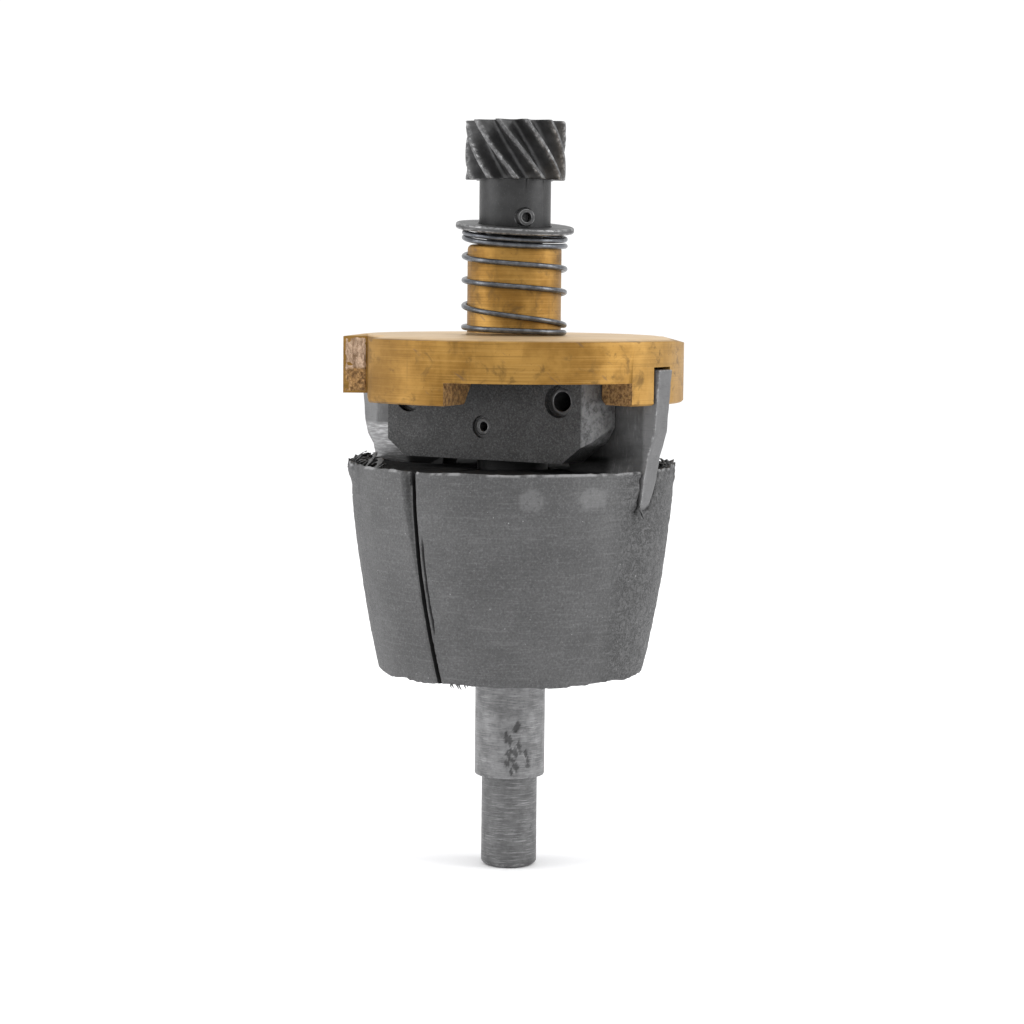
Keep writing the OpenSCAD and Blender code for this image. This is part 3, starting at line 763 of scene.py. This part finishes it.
def arm_material():
    """Sheared plate: upright shear marks, a rubbed patch on the lower side faces and painted shade on the
    inner part below the spider.
    """
    s = Shader("arm_steel_finish")
    shear = s.noise(1.0, 4, 0.65, s.stretched(2.2, 2.2, 0.35))
    brushed = s.noise(1.0, 4, 0.65, s.stretched(0.5, 0.5, 4))
    tone = s.mix(s.band(s.noise(0.3, 4), 0.35, 0.7), grey(0.055), grey(0.085))
    outer = s.band(s.maths("ABSOLUTE", s.axis("X")), ARM_HIGH.x - 3.4, ARM_HIGH.x - 2.6)
    tone = s.tint(tone, outer, grey(0.145), 0.75)
    tone = s.tint(tone, s.band(shear, 0.52, 0.72), grey(0.2), 0.35)
    tone = s.tint(tone, s.band(brushed, 0.5, 0.75), grey(0.04), 0.4)
    ground = s.band(s.axis("Z"), PIVOT_Z - 5.2, PIVOT_Z - 6)
    left = s.band(s.axis("X"), -20.0, -22.0)
    fresh = s.mix(s.band(brushed, 0.4, 0.7), grey(0.16), grey(0.36))
    tone = s.tint(tone, s.maths("MULTIPLY", ground, left), fresh, 0.85)
    edge = s.worn_edge(1.3, 0.45, 0.66)
    tone = s.tint(tone, edge, grey(0.3), 0.6)
    # Painted shade: nearly black on the inner part of the arm below the spider, where it lies in shade above
    # the weights
    inner = s.band(s.maths("ABSOLUTE", s.axis("X")), SPIDER_HIGH.x, SPIDER_HIGH.x - 2)
    painted_shade = s.maths("MULTIPLY", inner, s.band(s.axis("Z"), SPIDER_LOW.z + 1.5, SPIDER_LOW.z + 0.5))
    tone = s.tint(tone, painted_shade, grey(0.01), 0.95)
    normal = s.bump(s.noise(3.4, 4, 0.7), 0.06, 0.55)
    return s.finish(tone, 0.42, 0.75, normal)


# ---- Weights ----
BAND_HEIGHT = 5.6
BAND_FLOOR = WEIGHT_HIGH.z - BAND_HEIGHT
WEIGHT_R_BOTTOM, WEIGHT_R_BAND = 23.6, 28.6
SIDE_BULGE = 0.6
SPLIT_GAP = 0.4
SPLIT_X = -0.6
SPLIT_LEAN = math.tan(math.radians(3.6))
# Stretches of the rim, in degrees from +X, where the casting is torn: middle and half width
TORN_RIGHT = (26, 24)
TORN_LEFT = (-148, 30)
# Where burrs stand up on the rim, in degrees, how many there are and how large they are
BURRS = {RIGHT: ((12, 42), 12, (0.8, 1.3)), LEFT: ((-166, -108), 34, (1.1, 2.6))}
# Where wisps hang from the right weight's bottom edge, in degrees
WISPS = (-86, -74)
# Radii of the rings of the underside and of the dished upper face
UNDERSIDE = (9, 13, 17, 21)
UPPER_FACE = (27.4, 26.6, 25, 21, 17, 13, 10)
DISH = 0.8
SIDE_STEPS = 120
# Radius at which the noise that shapes the weights' edges is read
EDGE_R = 24


def side_r(z):
    """Radius of the slightly bulging cone at one height."""
    t = min(1.0, (z - WEIGHT_LOW.z) / (BAND_FLOOR - WEIGHT_LOW.z))
    return WEIGHT_R_BOTTOM + (WEIGHT_R_BAND - WEIGHT_R_BOTTOM) * t + SIDE_BULGE * math.sin(math.pi * t)


def split_face(side, z, share=0.0):
    """Distance along the weight's own X from the axis to its face on the leaning, wavy saw cut."""
    low, high = WEIGHT_LOW.z, WEIGHT_HIGH.z
    t = (z - low) / (high - low)
    wander = 0.3 + 0.5 * math.sin(math.pi * t)
    place = SPLIT_X - wander - SPLIT_LEAN * (z - (low + high) / 2)
    opened = 0.75 * smooth(0.45, 1.0, t) if side == LEFT and share > 0 else 0.0
    return side * place + SPLIT_GAP + opened


def near_angle(angle, middle, wide):
    """1 in the middle of a stretch of the rim, fading to 0 at its ends. Angles in degrees."""
    off = abs((math.degrees(angle) - middle + 180) % 360 - 180)
    return 1 - smooth(wide * 0.55, wide, off)


def torn(angle):
    """How torn the rim is at one angle, 0 to 1."""
    return near_angle(angle, *TORN_RIGHT) + near_angle(angle, *TORN_LEFT)


def weight_relief(angle, z):
    """Outward offset of the weight's side, and how rubbed it is there."""
    here = polar(28, angle, z)
    top = WEIGHT_HIGH.z
    out = 0.12 * rough(here, 9, 3) + 0.05 * rough(here, 1.4, 3)
    peel = near_angle(angle, 12, 30) + 0.4 * near_angle(angle, -140, 26)
    out += peel * 0.10 * rough(here, 1.1, 2)
    lip = smooth(BAND_FLOOR + 1.0, top - 0.5, z)
    out += lip * near_angle(angle, *TORN_LEFT) * (0.75 + 0.35 * rough(here, 1.5, 3))
    out += lip * near_angle(angle, *TORN_RIGHT) * (0.35 + 0.4 * rough(here, 1.3, 3))
    out -= 0.06 * (1 - smooth(0, 0.3, abs(z - BAND_FLOOR + 0.4 + 0.4 * rough(here, 6))))
    crack = abs(math.degrees(angle) + 136 + 1.2 * rough(here, 4))
    in_band = smooth(BAND_FLOOR, BAND_FLOOR + 1.5, z) * smooth(top, top - 1.5, z)
    out -= 0.5 * (1 - smooth(0.2, 0.9, crack)) * in_band
    rubbed = 0.0
    for middle, height, wide in ((-51.6, BAND_FLOOR + 1.2, 4.6), (-29.5, BAND_FLOOR + 1.2, 6.4)):
        far = math.hypot((math.degrees(angle) - middle) / wide, (z - height) / 2.1)
        rubbed = max(rubbed, 1 - smooth(0.7, 1.1, far + 0.3 * rough(here, 1.6)))
    out -= 0.03 * rubbed
    return out, rubbed


def edge_loss(side, distance, angle, z):
    """How far the side is broken back beside the saw cut, and how much painted shade the flash's seam gets
    there.
    """
    here = polar(28, angle, z)
    share = (z - WEIGHT_LOW.z) / (WEIGHT_HIGH.z - WEIGHT_LOW.z)
    if side == LEFT:
        wide = 0.25 + 1.5 * smooth(0.45, 1.0, share)
        return 1.3 * wide / 1.75 * (1 - smooth(0.0, wide, distance + 0.15 * rough(here, 1.0))), 0.0
    chips = 0.35 * max(0, rough(here, 0.9, 2)) * smooth(0.35, 0.05, share)
    loss = (0.25 + chips) * (1 - smooth(0.0, 0.5 + chips, distance))
    seam = abs(distance - 0.75 - 0.12 * rough(here, 3))
    along = smooth(0.22, 0.3, share) * smooth(0.72, 0.62, share)
    seam = along * (1 - smooth(0.06, 0.26, seam))
    return loss + 0.6 * seam, 0.8 * seam


def groove(y, z):
    """How deep the crack beside the arm's strip is cut into the weight's side."""
    if z < STRIP_FLOOR - 1.2:
        return 0.0
    off = abs(y + strip_shift(z))
    half = ARM_T / 2 * (1 - 0.3 * smooth(STRIP_FLOOR + 5, STRIP_FLOOR, z))
    return 0.9 * (1 - smooth(half - 0.1, half + 0.45, off)) * smooth(STRIP_FLOOR - 1, STRIP_FLOOR, z)


def rim_shares():
    """Places from one split face to the other, -1 to 1, closer together beside the faces."""
    fine, coarse = 22, 130
    near = 0.045
    ends = [near * i / fine for i in range(fine)]
    middle = [near + (2 - 2 * near) * i / coarse for i in range(coarse + 1)]
    return [p - 1 for p in ends] + [p - 1 for p in middle] + [1 - p for p in reversed(ends)]


def curl(draw, start, heading, rise, size, thick):
    """A curled burr: a tapered worm that bends over and twists."""
    path = [start]
    for i in range(8):
        heading += draw.uniform(0.15, 0.75)
        rise -= draw.uniform(0.1, 0.3)
        step = Vector((math.cos(heading) * 0.75, math.sin(heading) * 0.75, rise)) * size * 0.2
        path.append(path[-1] + step)
    rings = []
    for i, centre in enumerate(path):
        here = thick * (1 - 0.75 * (i / (len(path) - 1)) ** 2)
        ring = []
        for k in range(8):
            a = 2 * math.pi * k / 8
            flat = Vector((math.cos(a), math.sin(a) * 0.8, 0.5 * math.sin(a + 1))) * here
            ring.append(centre + flat * (1 + 0.35 * rough(centre + flat * 3, 0.7)))
        rings.append(ring)
    return sweep(rings)


def add_hook(bm, draw):
    """Curls of casting round the foot of the right arm's strip."""
    foot = math.atan2(-strip_shift(STRIP_FLOOR) - 1.5, side_r(STRIP_FLOOR))
    for drop in (0.1, 0.5, 0.9):
        start = polar(side_r(STRIP_FLOOR) + 0.1, foot - 0.02 * drop, STRIP_FLOOR + 0.5 - drop)
        join(bm, curl(draw, start, foot - 1.8, -0.1, 1.3, 0.36))


def add_wisps(bm, draw):
    """Thin wisps of flash at the bottom edge beside the saw cut."""
    for _ in range(6):
        angle = math.radians(draw.uniform(*WISPS))
        start = polar(WEIGHT_R_BOTTOM - 0.6, angle, WEIGHT_LOW.z + 0.6)
        join(bm, curl(draw, start, angle + draw.uniform(-2, -1), 0.1, draw.uniform(0.5, 0.9), 0.2))


def add_burrs(bm, side):
    """Torn burrs along the rim and, on the right weight, the hook and the wisps."""
    draw = random.Random(11 + side)
    stretch, count, sizes = BURRS[side]
    for _ in range(count):
        angle = math.radians(draw.uniform(*stretch))
        r = side_r(WEIGHT_HIGH.z) + draw.uniform(-1.8, -0.4)
        size = draw.uniform(*sizes)
        start = polar(r, angle, WEIGHT_HIGH.z - 0.3)
        heading = angle + draw.uniform(0.7, 2.0)
        join(bm, curl(draw, start, heading, draw.uniform(0.9, 1.4), size, 0.25 * size))
    if side == RIGHT:
        add_hook(bm, draw)
        add_wisps(bm, draw)
    return bm


def placed(side, share, r, z):
    """A point of the casting, a share of the way round towards one of its faces on the saw cut."""
    return polar(r, share * math.acos(split_face(side, z, share) / r), z)


def edge_height(angle, z):
    """Height of a point of the side, given a wavy bottom edge and a partly torn top edge."""
    low_edge, high_edge = polar(EDGE_R, angle, 5), polar(EDGE_R, angle, 9)
    wave = 0.4 * rough(low_edge, 5, 3) + 0.15 * rough(low_edge, 0.8, 2)
    crest = 0.2 * rough(high_edge, 4, 3) + 0.08 * rough(high_edge, 0.9, 2)
    crest += torn(angle) * 0.7 * (0.4 + rough(polar(EDGE_R, angle, 15), 1.1, 3))
    near_bottom = 1 - smooth(0, 3, z - WEIGHT_LOW.z)
    near_top = smooth(WEIGHT_HIGH.z - 2.5, WEIGHT_HIGH.z, z)
    return z + near_bottom * min(0.5, max(0, wave + 0.25)) + near_top * min(1.0, crest - 0.1)


def side_point(side, share, z):
    """A point of the side, how rubbed it is and how much of the flash's seam is there."""
    floor, top = WEIGHT_LOW.z, WEIGHT_HIGH.z
    r = side_r(z)
    reach = math.acos(split_face(side, z, share) / r)
    angle = share * reach + (math.pi if side == LEFT else 0)
    out, rubbed = weight_relief(angle, z)
    out -= 0.2 * (1 - smooth(0.0, 0.35, z - floor)) ** 2
    out -= 0.25 * smooth(top - 0.4, top, z) ** 2 * (1 - min(1, torn(angle)))
    out -= groove(r * math.sin(share * reach), z)
    from_cut = r * abs(-side - share) * reach
    loss, seam = edge_loss(side, from_cut, angle, z)
    # The top edge gets the rubbed mark: partly real rubbing and partly a painted highlight
    if z > top - 0.4 and rough(polar(EDGE_R, angle, 2), 1.5, 2) > 0.05:
        rubbed = 0.8
    return placed(side, share, r + out - loss, edge_height(angle, z)), rubbed, seam


def weight_ring(side, share):
    """One outline of the casting: out from the bore below, up the side and back in to the bore."""
    floor, top = WEIGHT_LOW.z, WEIGHT_HIGH.z
    below = [(WEIGHT_BORE_R, floor + 0.2)]
    below += [(r, floor + 0.12 * rough(Vector((r, share * 9, 3)), 2)) for r in UNDERSIDE]
    above = [(r, top - 0.1 - DISH * smooth(28, 26.2, r) + 0.25 * rough(Vector((r, share * 20, 8)), 3))
             for r in UPPER_FACE]
    above.append((WEIGHT_BORE_R, top - 1.0))
    ring = [(placed(side, share, r, z), 0.0, 0.0) for r, z in below]
    ring += [side_point(side, share, floor + (top - floor) * i / SIDE_STEPS) for i in range(SIDE_STEPS + 1)]
    return ring + [(placed(side, share, r, z), 0.0, 0.0) for r, z in above]


def mark_weight(bm, side, marks):
    """Paints the rubbed, dark and orange peel marks. The dark mark is painted shade: on the end rings on the
    saw cut, on the dished upper face, on the sunk places of the side and in the flash's seam.
    """
    floor, top = WEIGHT_LOW.z, WEIGHT_HIGH.z
    wear = bm.verts.layers.float.new("wear")
    dark = bm.verts.layers.float.new("dark")
    peel = bm.verts.layers.float.new("peel")
    bm.verts.ensure_lookup_table()
    end_ring = (len(bm.verts) - len(marks)) // 2
    for index, v in enumerate(bm.verts):
        # The end rings on the saw cut get painted shade, so that the gap reads black
        if not end_ring <= index < end_ring + len(marks):
            v[dark] = 0.95
            continue
        v[wear], seam = marks[index - end_ring]
        r = math.hypot(v.co.x, v.co.y)
        turned = math.atan2(v.co.y, v.co.x) + (math.pi if side == LEFT else 0)
        v[peel] = near_angle(turned, 10, 34) + 0.5 * near_angle(turned, -140, 20)
        # Painted shade on the dished upper face, which lies in shade under the hub and the flange
        if v.co.z > top - 2.6 and r < WEIGHT_R_BAND - 1.1:
            v[dark] = 0.9
        # Painted shade where the side is sunk, away from the saw cut, and in the flash's seam
        elif r > 20 and floor + 3 < v.co.z < top - 1:
            far_from_cut = smooth(0.5, 2.5, v.co.x - split_face(side, v.co.z))
            sunk = smooth(0.35, 0.8, side_r(v.co.z) - r)
            v[dark] = max(seam, 0.8 * sunk * far_from_cut)


def weight(side):
    """A half cone on one side of the split; the rings run from one split face to the other."""
    rings, marks = [], []
    for share in rim_shares():
        ring = weight_ring(side, share)
        rings.append([point for point, _, _ in ring])
        marks += [(rubbed, seam) for _, rubbed, seam in ring]
    inward = Vector((-0.02, 0, 0))
    bm = sweep([[p + inward for p in rings[0]]] + rings + [[p + inward for p in rings[-1]]])
    mark_weight(bm, side, marks)
    bmesh.ops.triangulate(bm, faces=[f for f in bm.faces if len(f.verts) > 4])
    if side == LEFT:
        bmesh.ops.rotate(bm, matrix=Matrix.Rotation(math.pi, 3, "Z"), verts=bm.verts)
    return add_burrs(bm, side)


# ---- Sleeve ----
RIM_NOTCH_FROM = 215
RAW_WALLS = (-80.8, -16.2)
NOTCH_FLOOR_R = 26.0
PALE_FLOOR = 73.0
WORN_LUG_FLOOR = SLEEVE_LOW.z + 0.9


def rough_wall(r_from, r_to, z_from, z_to):
    """A torn skin over the wall of the left rim notch, closed behind inside the wall."""
    rings = []
    up, across = 40, 18
    for i in range(up + 1):
        z = z_from + (z_to - z_from) * i / up
        front, back = [], []
        for k in range(across + 1):
            r = r_from + (r_to - r_from) * k / across
            rim = min(i, up - i, k, across - k)
            stand = -0.1 + min(1, rim / 2) * (0.2 + 0.16 * rough(Vector((r, 4, z)), 1.1, 4))
            angle = math.radians(RIM_NOTCH_FROM) + stand / r
            front.append(polar(r, angle, z))
            back.append(polar(r, math.radians(RIM_NOTCH_FROM) - 0.3 / r, z))
        rings.append(front + list(reversed(back)))
    return sweep(rings)


def sleeve():
    """The brass sleeve with broken edges, rough inner walls and a torn notch wall."""
    bm = finished_copy("sleeve", 0.2)
    bm.normal_update()
    flats = [f for f in bm.faces if abs(f.normal.z) > 0.999 and f.calc_area() > 100]
    bmesh.ops.inset_region(bm, faces=flats, thickness=0.25, use_even_offset=True)
    raw = bm.faces.layers.float.new("raw")
    bm.faces.layers.float.new("pale")
    skin = rough_wall(NOTCH_FLOOR_R + 0.05, SLEEVE_HIGH.x - 0.2, WORN_LUG_FLOOR + 0.15, FLANGE_TOP - 0.5)
    skin.faces.layers.float.new("wear")
    raw_skin = skin.faces.layers.float.new("raw")
    pale_skin = skin.faces.layers.float.new("pale")
    for face in skin.faces:
        middle = face.calc_center_median()
        share = smooth(PALE_FLOOR - 0.2, PALE_FLOOR + 0.3, middle.z + 0.4 * rough(middle, 1.5))
        face[raw_skin] = 1 - share
        face[pale_skin] = share
    for face in bm.faces:
        middle = face.calc_center_median()
        if math.hypot(middle.x, middle.y) < 20 or middle.z > FLANGE_TOP - 5:
            continue
        angle = math.degrees(math.atan2(middle.y, middle.x))
        if any(abs(angle - wall) < 0.6 for wall in RAW_WALLS):
            face[raw] = 1.0
    return join(bm, skin)


# ---- Floor, light and camera ----
CAMERA_DISTANCE = 464
CAMERA_HEIGHT = 90.4
CAMERA_PITCH = math.radians(5.29)
CAMERA_ROLL = math.radians(0.58)
FOCAL_SHARE = 2600 / 1024
SENSOR = 36.0
# Soft boxes, in metres, and how far the side ones are turned from the front, in degrees
LIGHT_AIM = Vector((0, 0, 0.06))
LIGHT_DISTANCE = 0.9
SIDE_BOX, TOP_BOX = (0.5, 0.8), (0.8, 0.8)
SIDE_LIGHT_TURN = 80
ROOM_BRIGHTNESS = 1.08


def camera():
    """The camera, at the rotor's front and a little above its middle."""
    data = bpy.data.cameras.new("camera")
    data.sensor_width = SENSOR
    data.lens = FOCAL_SHARE * SENSOR
    data.clip_start = 0.01
    data.clip_end = 50
    obj = bpy.data.objects.new("camera", data)
    bpy.context.scene.collection.objects.link(obj)
    away = Vector((math.sin(FRONT), -math.cos(FRONT), 0)) * CAMERA_DISTANCE
    obj.location = (away + Vector((0, 0, CAMERA_HEIGHT))) * MM
    look = Matrix.Rotation(FRONT, 4, "Z") @ Matrix.Rotation(math.pi / 2 - CAMERA_PITCH, 4, "X")
    obj.rotation_euler = (look @ Matrix.Rotation(CAMERA_ROLL, 4, "Z")).to_euler()
    bpy.context.scene.camera = obj


def soft_light(name, azimuth, elevation, size, power):
    """A soft box aimed at the middle of the rotor. Angles in degrees, sizes in metres."""
    data = bpy.data.lights.new(name, "AREA")
    data.shape = "RECTANGLE"
    data.size, data.size_y = size
    data.energy = power
    obj = bpy.data.objects.new(name, data)
    bpy.context.scene.collection.objects.link(obj)
    a, e = math.radians(azimuth), math.radians(elevation)
    way = Vector((math.sin(a) * math.cos(e), -math.cos(a) * math.cos(e), math.sin(e)))
    obj.location = LIGHT_AIM + way * LIGHT_DISTANCE
    obj.rotation_euler = way.to_track_quat("Z", "Y").to_euler()


def studio():
    """A bright pale room: floor, soft boxes at both sides and one from above."""
    world = bpy.data.worlds.new("studio")
    bpy.context.scene.world = world
    world.use_nodes = True
    world.node_tree.nodes["Background"].inputs["Color"].default_value = (1, 1, 1, 1)
    world.node_tree.nodes["Background"].inputs["Strength"].default_value = ROOM_BRIGHTNESS
    bm = bmesh.new()
    bmesh.ops.create_grid(bm, x_segments=8, y_segments=8, size=6)
    mesh = bpy.data.meshes.new("floor")
    bm.to_mesh(mesh)
    bm.free()
    floor = bpy.data.objects.new("floor", mesh)
    floor.location.z = SHAFT_LOW.z * MM - 0.0001
    bpy.context.scene.collection.objects.link(floor)
    s = Shader("floor_finish")
    tone = s.mix(s.band(s.noise(0.01, 2), 0.3, 0.7), grey(0.95), grey(0.97))
    mesh.materials.append(s.finish(tone, 0.9, 0.0))
    soft_light("key_right", FRONT_AZIMUTH + SIDE_LIGHT_TURN, 22, SIDE_BOX, 4.6)
    soft_light("fill_left", FRONT_AZIMUTH - SIDE_LIGHT_TURN, 20, SIDE_BOX, 4.0)
    soft_light("top", FRONT_AZIMUTH, 78, TOP_BOX, 2)
    bpy.context.scene.view_settings.view_transform = "Standard"


# ---- Assembly ----
camera()
studio()

LEAD = lead_material()
ARM_STEEL = arm_material()
PIN_STEEL = worn_steel("pin_steel_finish", 0.06, 0.2, 0.42, 4.0)

piece("shaft_finished", shaft(), "rotor", shaft_material(), ["shaft"])
gear = piece("drive_gear_finished", drive_gear(), "rotor", gear_material(), ["drive_gear"])
cut_hub_mouth(gear)
piece("thrust_washer_finished", finished_copy("thrust_washer", 0.2), "rotor",
      worn_steel("washer_steel_finish", 0.075, 0.22, 0.45, 3.0), ["thrust_washer"])
coil = piece("spring_finished", spring(), "rotor", wire_material(), ["spring"])
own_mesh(coil)
piece("sleeve_finished", sleeve(), "lifting_sleeve", brass_material(), ["sleeve"],
      sharp=CRISP)
piece("spider_finished", finished_copy("spider", 0.35), "rotor", spider_material(),
      ["spider"], sharp=CRISP)
for pin in ("gear_roll_pin", "spider_roll_pin", "pivot_pin_right", "pivot_pin_left"):
    piece(pin + "_finished", finished_copy(pin, 0.12), "rotor", PIN_STEEL, [pin])
for side, word in ((RIGHT, "right"), (LEFT, "left")):
    piece(f"arm_{word}_finished", arm(side), f"flyweight_{word}", ARM_STEEL, [f"arm_{word}"])
    piece(f"weight_{word}_finished", weight(side), f"flyweight_{word}", LEAD, [f"weight_{word}"],
          sharp=ROUNDED)
